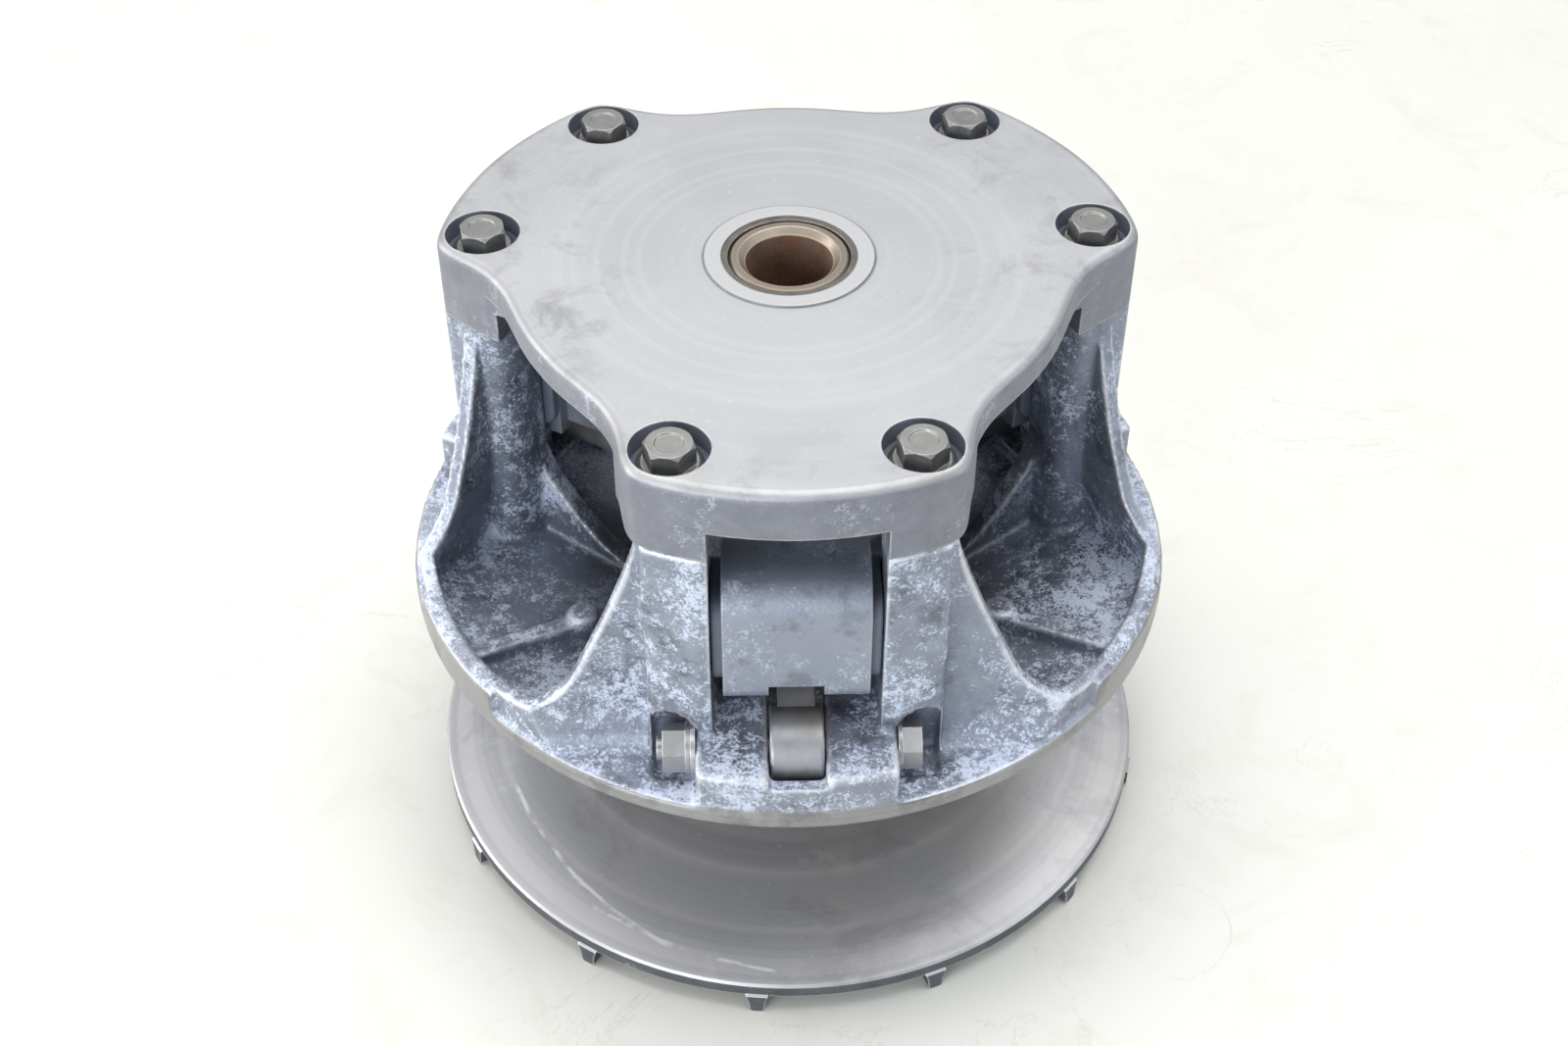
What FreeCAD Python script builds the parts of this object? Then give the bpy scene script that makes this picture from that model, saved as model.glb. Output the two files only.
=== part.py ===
"""Drive pulley of a rubber-belt CVT, built as separate parts.

Millimetres. +Z runs up the shaft, z = 0 is the plane of the fin tips, and the
first of the three towers points along -Y. Each tower is modelled in a local
frame (u outwards along local X, t sideways along local Y) and turned into place.
"""
import FreeCAD, Part
import math
import os

from FreeCAD import Placement, Rotation, Vector

# ---------------------------------------------------------------- dimensions
TOWER_ANGLES = (-90.0, 30.0, 150.0)
CONE_TAN = math.tan(math.radians(13.0))

RIM_R = 96.0                 # movable sheave rim
FIXED_RIM_R = 95.0           # fixed sheave rim
COVER_TOP = 163.0
COVER_LOBE_BOTTOM = 151.0
COVER_VALLEY_BOTTOM = 155.5
POST_TOP = 143.0
TRAVEL = 25.0                # slide of the movable sheave
SWING = math.radians(60.0)   # flyweight swing over that travel

SHAFT_TOP_R = 14.3
SHAFT_RUN_R = 17.5
THREAD_R = 15.9
BOLT_PASSAGE_R = 6.75
BOLT_SEAT_R = 10.25
BOLT_SEAT_Z = 138.0
RUN_GAP = 0.05               # radial clearance of every running fit

POST_IN = 19.2               # inner face of a post, sideways from the tower centre
POST_OUT = 33.8              # outer face of a post
POST_FRONT_R = 83.7          # post fronts lie on this upright cylinder
STRIP_FRONT = 80.9           # machined strip on a post, outward position
STRIP_OUT = 22.3             # machined strip on a post ends here, sideways
BLOCK_HALF = 23.1            # half width of the pivot block between a tower's posts
PIVOT_U = 80.5               # flyweight pivot
PIVOT_Z = 83.5
PIVOT_R = 3.0
HEEL_R = 9.5
ROLLER_U = 67.0              # roller on the spider
ROLLER_Z = 104.5
ROLLER_R = 9.0
ROLLER_PIN_R = 4.0
CAM_GAP = 0.3

COVER_BOLT_R = 72.7          # cover bolts: circle radius and angle off the tower
COVER_BOLT_ANGLE = 21.4
SEAT_DEPTH = 5.0
HEX_AF = 10.0


# ------------------------------------------------------------------- helpers
def box(x0, x1, y0, y1, z0, z1):
    return Part.makeBox(x1 - x0, y1 - y0, z1 - z0, Vector(x0, y0, z0))


def cyl(radius, z0, z1, x=0.0, y=0.0):
    return Part.makeCylinder(radius, z1 - z0, Vector(x, y, z0))


def ring(outer, inner, z0, z1, x=0.0, y=0.0):
    return cyl(outer, z0, z1, x, y).cut(cyl(inner, z0 - 1, z1 + 1, x, y))


def cyl_t(radius, t0, t1, u, z):
    """Cylinder along the sideways axis of a tower."""
    return Part.makeCylinder(radius, t1 - t0, Vector(u, t0, z), Vector(0, 1, 0))


def ring_t(outer, inner, t0, t1, u, z):
    return cyl_t(outer, t0, t1, u, z).cut(cyl_t(inner, t0 - 1, t1 + 1, u, z))


def face_of(points):
    return Part.Face(Part.makePolygon(list(points) + [points[0]]))


def turned(profile):
    """Solid of revolution about Z from a closed (r, z) outline."""
    face = face_of([Vector(r, 0, z) for r, z in profile])
    return face.revolve(Vector(0, 0, 0), Vector(0, 0, 1), 360)


def slab_t(profile, t0, t1):
    """Plate with a (u, z) outline between two sideways positions."""
    face = face_of([Vector(u, t0, z) for u, z in profile])
    return face.extrude(Vector(0, t1 - t0, 0))


def slab_u(profile, u0, u1):
    """Plate with a (t, z) outline between two outward positions."""
    face = face_of([Vector(u0, t, z) for t, z in profile])
    return face.extrude(Vector(u1 - u0, 0, 0))


def hex_prism(across_flats, z0, z1, x=0.0, y=0.0, twist=0.0):
    corner = across_flats / math.sqrt(3)
    points = []
    for i in range(6):
        angle = math.radians(60 * i + twist)
        points.append(Vector(x + corner * math.cos(angle), y + corner * math.sin(angle), z0))
    return face_of(points).extrude(Vector(0, 0, z1 - z0))


def hex_prism_t(across_flats, t0, t1, u, z, twist=0.0):
    prism = hex_prism(across_flats, 0, t1 - t0, 0, 0, twist)
    prism.Placement = Placement(Vector(u, t0, z), Rotation(Vector(1, 0, 0), -90))
    return prism


def spun(shape, degrees):
    copy = shape.copy()
    copy.rotate(Vector(0, 0, 0), Vector(0, 0, 1), degrees)
    return copy


def at_towers(shape):
    return [spun(shape, angle) for angle in TOWER_ANGLES]


def fuse_all(shapes):
    first = shapes[0]
    if len(shapes) == 1:
        return first
    return first.multiFuse(shapes[1:]).removeSplitter()


def both_sides(shape):
    return [shape, shape.mirror(Vector(0, 0, 0), Vector(0, 1, 0))]


def rounded(shape, radius, pick):
    """Fillet the edges that pick() accepts, leaving the shape if none can be."""
    edges = [edge for edge in shape.Edges if pick(edge)]
    if not edges:
        return shape
    try:
        result = shape.makeFillet(radius, edges)
        if result.isValid() and result.Volume > 0:
            return result
    except Exception:
        pass
    return shape


def bolt_spots():
    """Cover bolt centres in a tower's local frame."""
    spots = []
    for side in (-1, 1):
        angle = math.radians(COVER_BOLT_ANGLE * side)
        spots.append((COVER_BOLT_R * math.cos(angle), COVER_BOLT_R * math.sin(angle)))
    return spots


# ------------------------------------------------------------- fixed sheave
def make_fixed_sheave():
    rim_top = 9.9
    rim_low = 5.9
    hub_top = 28.4
    hub_r = 24.0
    face_hub = rim_top + (FIXED_RIM_R - 0.6 - hub_r) * CONE_TAN
    disc = turned([
        (THREAD_R + 2.6, hub_top), (hub_r, hub_top), (hub_r, face_hub),
        (FIXED_RIM_R - 0.6, rim_top), (FIXED_RIM_R, rim_top - 0.6),
        (FIXED_RIM_R, rim_low), (FIXED_RIM_R - 4.0, rim_low),
        (30.0, 17.0), (28.0, 16.0), (27.0, 2.0), (THREAD_R + 2.6, 2.0)])
    fins = []
    fin_count = 13
    for i in range(fin_count):
        outline = [(-3.6, 9.0), (-2.1, 3.5), (-1.8, 0.6), (-1.2, 0.0),
                   (1.2, 0.0), (1.8, 0.6), (2.1, 3.5), (3.6, 9.0), (3.6, 22.0), (-3.6, 22.0)]
        fin = slab_u(outline, 25.5, 95.8)
        fins.append(spun(fin, -96.0 + 360.0 / fin_count * i))
    below_face = turned([
        (25.5, -1.0), (95.6, -1.0), (95.6, 5.9), (FIXED_RIM_R - 2.0, 7.5),
        (30.0, 20.0), (25.5, 20.0)])
    fins = [fin.common(below_face) for fin in fins]
    return fuse_all([disc] + fins)


# -------------------------------------------------------------------- shaft
def make_shaft():
    sheave_seat_r = THREAD_R + 2.6
    body = turned([
        (0, 0.5), (sheave_seat_r - 1.0, 0.5), (sheave_seat_r, 1.5), (sheave_seat_r, 28.4),
        (SHAFT_RUN_R, 28.4), (SHAFT_RUN_R, 96.2), (THREAD_R, 97.8), (THREAD_R, 124.0),
        (SHAFT_TOP_R, 125.2), (SHAFT_TOP_R, COVER_TOP - 0.8), (SHAFT_TOP_R - 0.8, COVER_TOP),
        (0, COVER_TOP)])
    seat = turned([
        (0, BOLT_SEAT_Z), (BOLT_SEAT_R, BOLT_SEAT_Z), (BOLT_SEAT_R, COVER_TOP - 1.6),
        (BOLT_SEAT_R + 1.8, COVER_TOP + 0.2), (0, COVER_TOP + 0.2)])
    passage = cyl(BOLT_PASSAGE_R, 50, 150)
    taper = turned([(0, -1), (15.0, -1), (15.0, 0.5), (12.7, 58.0), (BOLT_PASSAGE_R, 63.0), (0, 63.0)])
    return body.cut(seat).cut(passage).cut(taper)


# ------------------------------------------------------------------- spider
def make_spider():
    hub = turned([
        (THREAD_R, 98.0), (33.0, 98.0), (36.0, 101.0), (36.0, 122.5), (34.5, 124.0),
        (31.6, 124.0), (31.6, 106.0), (23.2, 106.0), (22.6, 118.0), (THREAD_R, 118.0)])
    pieces = [hub]
    block_low = 97.5
    block_top = 131.0
    block_out = 79.8
    for angle in TOWER_ANGLES:
        inner_arm = slab_t([(33.0, 99.5), (62.0, 99.5), (62.0, 123.0), (33.0, 121.0)], -13.0, 13.0)
        block = slab_t([
            (57.5, block_low), (block_out, block_low), (block_out, block_top), (57.5, block_top)],
            -16.5, 16.5)
        block = rounded(block, 9.8, lambda e: edge_at(e, block_out, block_top))
        block = rounded(block, 4.0, lambda e: edge_at(e, block_out, block_low))
        block = rounded(block, 5.0, lambda e: edge_at(e, 57.5, block_top))
        pieces.append(spun(inner_arm, angle))
        pieces.append(spun(block, angle))
    spider = fuse_all(pieces)
    slot_roof = ROLLER_Z + ROLLER_R + 1.5
    notch_half = 6.3
    slot = box(34.0, ROLLER_U + ROLLER_R + 0.8, -notch_half, notch_half, 90.0, slot_roof)
    slot = slot.fuse(box(60.0, 90.0, -notch_half, notch_half, 90.0, 102.6))
    pin_hole = cyl_t(ROLLER_PIN_R, -20, 20, ROLLER_U, ROLLER_Z)
    for angle in TOWER_ANGLES:
        spider = spider.cut(spun(slot, angle)).cut(spun(pin_hole, angle))
    return spider


def upright(edge):
    """True for a vertical edge."""
    return edge.BoundBox.XLength < 0.01 and edge.BoundBox.YLength < 0.01


def edge_at(edge, u, z):
    """True for a straight edge along t that passes through (u, z)."""
    middle = edge.CenterOfMass
    return abs(middle.x - u) < 0.01 and abs(middle.z - z) < 0.01 and abs(middle.y) < 0.01


def make_button():
    pad = slab_t([(57.5, 101.0), (77.8, 101.0), (77.8, 125.3), (57.5, 125.3)], 16.5, 19.0)
    pad = rounded(pad, 5.0, lambda e: abs(e.BoundBox.YLength - 2.5) < 0.01)
    pad = rounded(pad, 0.7, lambda e: abs(e.BoundBox.YMin - 19.0) < 0.01)
    spigot = cyl_t(ROLLER_PIN_R - 0.02, 14.4, 16.6, ROLLER_U, ROLLER_Z)
    return pad.fuse(spigot).removeSplitter()


def make_roller_washers():
    washers = []
    for side in (-1, 1):
        t0 = 5.75 if side > 0 else -6.25
        washer = ring_t(7.0, ROLLER_PIN_R + RUN_GAP, t0, t0 + 0.5, ROLLER_U, ROLLER_Z)
        washers.extend(at_towers(washer))
    return Part.makeCompound(washers)


# ----------------------------------------------------------- movable sheave
def gusset_prism():
    """Wall kept at one tower: (t, z) outline swept outwards."""
    edge = [(72.0, 84.6), (64.0, 86.2), (59.8, 88.0), (55.8, 90.6), (51.8, 95.0), (48.4, 102.0),
            (45.7, 108.0), (40.8, 120.0), (36.6, 132.0), (34.0, POST_TOP)]
    right = Part.BSplineCurve()
    right.interpolate([Vector(20.0, t, z) for t, z in edge])
    left = Part.BSplineCurve()
    left.interpolate([Vector(20.0, -t, z) for t, z in reversed(edge)])
    top = Part.makeLine(Vector(20.0, edge[-1][0], POST_TOP), Vector(20.0, -edge[-1][0], POST_TOP))
    low = Part.makePolygon([
        Vector(20.0, -edge[0][0], edge[0][1]), Vector(20.0, -edge[0][0], 60.0),
        Vector(20.0, edge[0][0], 60.0), Vector(20.0, edge[0][0], edge[0][1])])
    wire = Part.Wire([right.toShape(), top, left.toShape()] + low.Edges)
    return Part.Face(wire).extrude(Vector(90.0, 0, 0))


def gusset_front():
    """(u, z) line of a gusset's outer face, bottom to top."""
    return [(75.5, 77.1), (73.2, 80.0), (71.6, 86.0), (70.4, 95.0), (69.9, 110.0), (70.2, 126.0),
            (70.8, POST_TOP)]


def make_movable_sheave():
    hub_low = 55.9
    hub_bore = 20.5
    web = turned([
        (hub_bore, hub_low), (24.5, hub_low), (95.2, 72.2), (RIM_R, 73.0), (RIM_R, 77.1),
        (92.0, 77.1), (88.0, 75.2), (62.0, 70.2), (34.0, 64.2), (28.0, 67.5), (26.0, 74.0),
        (25.0, 92.0), (hub_bore, 92.0)])

    line = gusset_front()
    thickness = 4.0
    plate_outline = [(75.5, 70.0)] + line + [(u - thickness, z) for u, z in reversed(line)]
    plate_outline[-1] = (69.5, 70.0)
    outside = line + [(120.0, POST_TOP), (120.0, 77.1)]
    prism = gusset_prism()
    inside_rim = turned([(0, 60.0), (32.0, 60.0), (94.2, 74.0), (94.2, POST_TOP), (0, POST_TOP)])
    plate = slab_t(plate_outline, -80.0, 80.0).common(prism).common(inside_rim)
    ring_wall = turned([(94.3, 75.0), (94.3, 92.0), (90.7, 92.0), (90.7, 75.0)])
    low_wall = turned([(94.3, 75.0), (94.3, 84.3), (93.6, 84.9), (91.6, 84.9), (90.7, 84.0),
                       (90.7, 75.0)])
    prisms = at_towers(prism)
    low_wall = low_wall.fuse(ring_wall.common(prisms[0].multiFuse(prisms[1:])))
    for trim in at_towers(slab_t(outside, -80.0, 80.0)):
        low_wall = low_wall.cut(trim)
    shelf = box(71.0, 100.0, -62.0, 62.0, 60.0, 77.1)
    shelf = shelf.common(turned([(0, 60.0), (32.0, 60.0), (95.6, 74.0), (95.6, 77.1), (0, 77.1)]))
    pieces = [web, low_wall] + at_towers(plate) + at_towers(shelf)

    band = ring(RIM_R, 92.0, 76.5, 84.0)
    band = rounded(band, 1.2, lambda e: abs(e.BoundBox.ZMin - 84.0) < 0.01)
    half = math.radians(11.5)
    wedge_points = [Vector(0, 0, 70.0)]
    for angle in (-half, 0, half):
        wedge_points.append(Vector(120 * math.cos(angle), 120 * math.sin(angle), 70.0))
    wedge = face_of(wedge_points).extrude(Vector(0, 0, 30))
    valley_band = band.common(wedge)
    valley_rib = slab_t([(27.0, 62.0), (27.0, 69.5), (60.0, 75.5), (88.0, 79.0), (92.0, 79.0),
                         (92.0, 72.0), (60.0, 66.0)], -2.3, 2.3)
    ejector = cyl(3.9, 66.0, 77.4, 60.0, 0)
    for piece in (valley_band, valley_rib, ejector):
        pieces.extend(spun(piece, angle + 60) for angle in TOWER_ANGLES)

    post_limit = cyl(POST_FRONT_R, 60.0, POST_TOP)
    front = box(73.0, 90.0, STRIP_OUT, POST_OUT, 66.0, POST_TOP).common(post_limit)
    front = rounded(front, 3.0, lambda e: upright(e) and e.BoundBox.YMin > 30 and e.BoundBox.XMin > 75)
    strip = box(60.0, STRIP_FRONT, POST_IN, STRIP_OUT, 66.0, POST_TOP)
    column_u, column_t = bolt_spots()[1]
    column = cyl(8.3, 66.0, POST_TOP, column_u, column_t)
    channel_out = 24.6
    channel = slab_t([(32.0, 60.5), (32.0, 66.0), (42.0, 72.0), (48.5, 78.3), (56.7, 88.4),
                      (60.5, 97.0), (60.5, POST_TOP), (78.0, POST_TOP), (78.0, 67.5)],
                     POST_IN, channel_out)
    block_top = 89.0
    block_out = 95.4
    block = box(71.5, block_out, -BLOCK_HALF, BLOCK_HALF, 60.0, block_top)
    block = rounded(block, 5.0, lambda e: upright(e) and e.BoundBox.XMin > 90)
    block = block.common(turned([
        (0, 60.0), (32.0, 60.0), (block_out, 74.0), (block_out, 86.6), (block_out - 0.8, 87.6),
        (70.0, block_top), (0, block_top)]))
    tower = [block]
    for piece in (front, strip, column, channel):
        tower.extend(both_sides(piece))
    for piece in tower:
        pieces.extend(at_towers(piece))
    sheave = fuse_all(pieces)

    cuts = []
    cuts.append(box(50.0, 110.0, -POST_IN, POST_IN, block_top, 160.0))
    slot_half = 6.45
    cuts.append(box(62.0, 110.0, -slot_half, slot_half, 84.8, 100.0))
    cuts.append(box(62.0, 91.6, -slot_half, slot_half, 73.6, 100.0))
    cuts.append(cyl_t(PIVOT_R + RUN_GAP, -40, 40, PIVOT_U, PIVOT_Z))
    arch_half = 5.05
    arch_t = BLOCK_HALF + arch_half
    arch_z = 88.0
    recess_back = 73.0
    recess_front = 84.6
    recess = box(recess_back, recess_front, BLOCK_HALF, BLOCK_HALF + 2 * arch_half, 75.8, arch_z)
    arch = Part.makeCylinder(
        arch_half, recess_front - recess_back, Vector(recess_back, arch_t, arch_z), Vector(1, 0, 0))
    cuts.extend(both_sides(recess.fuse(arch)))
    cuts.extend(both_sides(cyl_t(6.6, BLOCK_HALF, BLOCK_HALF + 2.5, PIVOT_U, PIVOT_Z)))
    for u, t in bolt_spots():
        cuts.append(cyl(3.0, 122.0, 150.0, u, t))
    for cut in cuts:
        for turned_cut in at_towers(cut):
            sheave = sheave.cut(turned_cut)
    return sheave


# -------------------------------------------------------------------- cover
def cover_outline():
    """Closed smooth outline of the cover, as a wire at z = 0."""
    half_lobe = [(0.0, 83.7), (9.0, 83.6), (17.0, 83.6), (22.0, 83.4), (25.0, 82.5), (27.0, 80.3),
                 (28.8, 77.4), (31.0, 73.9), (33.5, 70.9), (36.5, 68.6), (40.5, 66.8),
                 (46.0, 65.8), (53.0, 65.5)]
    polar = []
    for tower in TOWER_ANGLES:
        for angle, r in reversed(half_lobe[1:]):
            polar.append((tower - angle, r))
        for angle, r in half_lobe:
            polar.append((tower + angle, r))
    points = []
    for angle, r in polar:
        points.append(Vector(r * math.cos(math.radians(angle)), r * math.sin(math.radians(angle)), 0))
    curve = Part.BSplineCurve()
    curve.interpolate(points, PeriodicFlag=True)
    return Part.Wire([curve.toShape()])


def make_cover():
    outline = Part.Face(cover_outline())
    full = outline.copy()
    full.translate(Vector(0, 0, POST_TOP))
    full = full.extrude(Vector(0, 0, COVER_TOP - POST_TOP))
    full = rounded(full, 2.4, lambda e: abs(e.BoundBox.ZMin - COVER_TOP) < 0.01)
    plate = full.common(cyl(120, COVER_VALLEY_BOTTOM, COVER_TOP + 1))
    pieces = [plate]
    lobe = box(44.0, 100.0, -39.0, 39.0, COVER_LOBE_BOTTOM, COVER_TOP - 3)
    for angle in TOWER_ANGLES:
        pieces.append(full.common(spun(lobe, angle)))
        for side in (-1, 1):
            t_low, t_high = sorted((side * POST_IN, side * 39.0))
            boss = box(56.5, 100.0, t_low, t_high, POST_TOP, COVER_LOBE_BOTTOM + 1)
            pieces.append(full.common(spun(boss, angle)))
    pieces.append(cyl(23.0, 150.0, COVER_VALLEY_BOTTOM + 1))
    pieces.append(cyl(19.9, COVER_TOP - 1, COVER_TOP + 0.4))
    cover = fuse_all(pieces)
    pocket = box(50.0, 90.0, -17.6, 17.6, 140.0, 157.5).common(cyl(81.0, 140.0, 160.0))
    for angle in TOWER_ANGLES:
        cover = cover.cut(spun(pocket, angle))
        for u, t in bolt_spots():
            cover = cover.cut(spun(cyl(8.8, COVER_TOP - SEAT_DEPTH, COVER_TOP + 2, u, t), angle))
            cover = cover.cut(spun(cyl(3.3, 140.0, COVER_TOP, u, t), angle))
    return cover.cut(cyl(15.9, 140.0, COVER_TOP + 2))


def make_cover_bolts():
    seat = COVER_TOP - SEAT_DEPTH
    bolts = []
    for u, t in bolt_spots():
        twist = 12.0 if t > 0 else 20.0
        flange = turned([(0, 0), (7.4, 0), (7.4, 0.8), (6.2, 1.7), (0, 1.7)])
        flange.translate(Vector(u, t, seat))
        head = hex_prism(HEX_AF, seat + 1.0, seat + 6.6, u, t, twist)
        crown = turned([(0, -1.0), (7.0, -1.0), (7.0, 4.6), (5.0, 6.6), (3.2, 6.6), (3.0, 6.2), (0, 6.2)])
        crown.translate(Vector(u, t, seat))
        shank = cyl(2.98, 124.0, seat + 1.0, u, t)
        bolt = fuse_all([flange, head.common(crown), shank])
        bolts.extend(at_towers(bolt))
    return Part.makeCompound(bolts)


# ------------------------------------------------------- flyweights and pivots
def roller_path(steps):
    """Roller centre seen from a flyweight as the sheave slides, plus unit tangents."""
    def seen(travel):
        dx = ROLLER_U - PIVOT_U
        dz = ROLLER_Z - PIVOT_Z + travel
        turn = SWING * travel / TRAVEL
        x = dx * math.cos(turn) - dz * math.sin(turn)
        z = dx * math.sin(turn) + dz * math.cos(turn)
        return x, z
    path = []
    for i in range(steps + 1):
        travel = TRAVEL * i / steps
        x, z = seen(travel)
        ahead = seen(travel + 0.01)
        behind = seen(travel - 0.01)
        length = math.hypot(ahead[0] - behind[0], ahead[1] - behind[1])
        path.append((x, z, (ahead[0] - behind[0]) / length, (ahead[1] - behind[1]) / length))
    return path


def make_flyweight():
    reach = ROLLER_R + CAM_GAP
    cam = []
    for x, z, along_x, along_z in roller_path(14):
        cam.append(Vector(PIVOT_U + x - along_z * reach, -4.3, PIVOT_Z + z + along_x * reach))
    start = Vector(PIVOT_U - 4.0, -4.3, PIVOT_Z + 8.2)
    top = Part.BSplineCurve()
    top.interpolate(cam)
    tip = [(-45.2, -1.4), (-46.2, -3.6), (-45.4, -5.4), (-43.0, -6.0)]
    belly = [(-36.0, -2.2), (-27.0, 1.4), (-17.0, 1.0), (-9.0, -3.0), (-3.0, -8.4)]
    low = [Vector(PIVOT_U + x, -4.3, PIVOT_Z + z) for x, z in tip]
    curve = Part.BSplineCurve()
    curve.interpolate([low[-1]] + [Vector(PIVOT_U + x, -4.3, PIVOT_Z + z) for x, z in belly])
    end = curve.EndPoint
    edges = [Part.makeLine(start, cam[0]), top.toShape()]
    edges.extend(Part.makePolygon([cam[-1]] + low).Edges)
    edges.append(curve.toShape())
    edges.append(Part.makeLine(end, start))
    arm = Part.Face(Part.Wire(edges)).extrude(Vector(0, 8.6, 0))
    heel = cyl_t(HEEL_R, -6.2, 6.2, PIVOT_U, PIVOT_Z)
    heel = rounded(heel, 0.8, lambda e: e.Curve.TypeId == "Part::GeomCircle")
    weight = arm.fuse(heel).removeSplitter()
    return weight.cut(cyl_t(4.5, -10, 10, PIVOT_U, PIVOT_Z))


def make_weight_bolt():
    shank = cyl_t(PIVOT_R, -32.0, 23.2, PIVOT_U, PIVOT_Z)
    collar = cyl_t(6.2, 23.1, 24.1, PIVOT_U, PIVOT_Z)
    head = hex_prism_t(HEX_AF, 24.0, 28.6, PIVOT_U, PIVOT_Z, 30)
    return fuse_all([shank, collar, head])


def make_weight_nut():
    collar = cyl_t(6.2, -25.4, -24.35, PIVOT_U, PIVOT_Z)
    nut = hex_prism_t(HEX_AF, -30.6, -25.3, PIVOT_U, PIVOT_Z, 30)
    return collar.fuse(nut).removeSplitter().cut(cyl_t(PIVOT_R + 0.02, -40, 0, PIVOT_U, PIVOT_Z))


# ------------------------------------------------------------------- spring
def make_spring():
    """Coil swept along short straight runs."""
    wire_r = 2.2
    mean_r = 27.4
    low = 106.0 + wire_r
    high = COVER_VALLEY_BOTTOM - wire_r
    turns = 4.75
    per_turn = 24
    count = int(turns * per_turn)
    points = []
    for i in range(count + 1):
        angle = 2 * math.pi * i / per_turn
        height = low + (high - low) * i / count
        points.append(Vector(mean_r * math.cos(angle), mean_r * math.sin(angle), height))
    path = Part.Wire(Part.makePolygon(points))
    circle = Part.Wire(Part.makeCircle(wire_r, points[0], points[1] - points[0]))
    right_corners = 1
    return path.makePipeShell([circle], True, False, right_corners)


def save(name, shape):
    shape.exportStep("parts/" + name + ".step")
    print(name, shape.isValid(), len(shape.Solids), round(shape.Volume / 1000, 2), "cm3")


def main():
    os.makedirs("parts", exist_ok=True)
    save("fixed_sheave", make_fixed_sheave())
    save("shaft", make_shaft())
    save("spider", make_spider())
    nut = hex_prism(36.0, 118.0, 124.6).cut(cyl(THREAD_R + 0.02, 100, 130))
    save("spider_jam_nut", nut)
    save("roller_washers", make_roller_washers())
    save("primary_spring", make_spring())
    save("movable_sheave", make_movable_sheave())
    save("movable_sheave_bush", ring(20.5, SHAFT_RUN_R + RUN_GAP, 56.4, 91.5))
    save("cover", make_cover())
    save("cover_bush", ring(15.85, SHAFT_TOP_R + RUN_GAP, 150.5, COVER_TOP))
    save("cover_bolts", make_cover_bolts())
    washer = ring_t(6.2, PIVOT_R + 0.05, -24.3, -23.1, PIVOT_U, PIVOT_Z)
    save("weight_nut_washers", Part.makeCompound(at_towers(washer)))

    button = make_button()
    per_tower = {
        "roller_pin": cyl_t(ROLLER_PIN_R, -14.35, 14.35, ROLLER_U, ROLLER_Z),
        "roller": ring_t(ROLLER_R, 6.0, -5.6, 5.6, ROLLER_U, ROLLER_Z),
        "roller_bush": ring_t(6.0, ROLLER_PIN_R + RUN_GAP, -5.6, 5.6, ROLLER_U, ROLLER_Z),
        "flyweight": make_flyweight(),
        "flyweight_bush": ring_t(4.5, PIVOT_R + RUN_GAP, -6.2, 6.2, PIVOT_U, PIVOT_Z),
        "weight_bolt": make_weight_bolt(),
        "weight_nut": make_weight_nut(),
    }
    for i, angle in enumerate(TOWER_ANGLES):
        number = str(i + 1)
        for name, shape in per_tower.items():
            save(name + "_" + number, spun(shape, angle))
        for letter, pad in zip("ba", both_sides(button)):
            save("slide_button_" + number + letter, spun(pad, angle))


main()
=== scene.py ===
import math

import bmesh
import bpy
from mathutils import Matrix, Vector


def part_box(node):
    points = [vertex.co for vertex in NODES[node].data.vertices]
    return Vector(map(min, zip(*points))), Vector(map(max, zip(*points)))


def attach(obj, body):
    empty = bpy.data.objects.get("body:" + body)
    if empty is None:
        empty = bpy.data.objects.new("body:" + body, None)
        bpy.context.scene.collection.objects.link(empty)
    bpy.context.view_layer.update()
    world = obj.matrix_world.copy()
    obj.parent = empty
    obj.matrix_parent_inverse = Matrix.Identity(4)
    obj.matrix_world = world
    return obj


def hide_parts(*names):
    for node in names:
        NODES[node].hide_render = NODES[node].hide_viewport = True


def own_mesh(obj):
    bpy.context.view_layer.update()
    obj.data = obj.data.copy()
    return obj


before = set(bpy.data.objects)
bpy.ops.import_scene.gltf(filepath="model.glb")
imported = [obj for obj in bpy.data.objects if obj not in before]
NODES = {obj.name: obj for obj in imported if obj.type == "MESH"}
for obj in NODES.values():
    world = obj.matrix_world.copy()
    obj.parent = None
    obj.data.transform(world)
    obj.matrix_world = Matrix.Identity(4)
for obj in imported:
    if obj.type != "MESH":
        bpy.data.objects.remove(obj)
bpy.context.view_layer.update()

MM = 0.001

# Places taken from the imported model.
SPRING_LOW, SPRING_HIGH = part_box("primary_spring")

# Places and sizes on the object that the materials and the spring use.
COVER_TOP = 163.0 * MM
COVER_BOSS_R = 19.9 * MM
TOWERS = (-90.0, 30.0, 150.0)
BOLT_CIRCLE = 72.7 * MM
BOLT_ANGLE = 21.4
BOLT_SEAT_R = 8.8 * MM
SHEAVE_LEDGE_R = 95.5 * MM
SHAFT_BORE_R = 10.25 * MM
SPRING_WIRE_R = 2.2 * MM
SPRING_MEAN_R = 27.4 * MM


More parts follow.
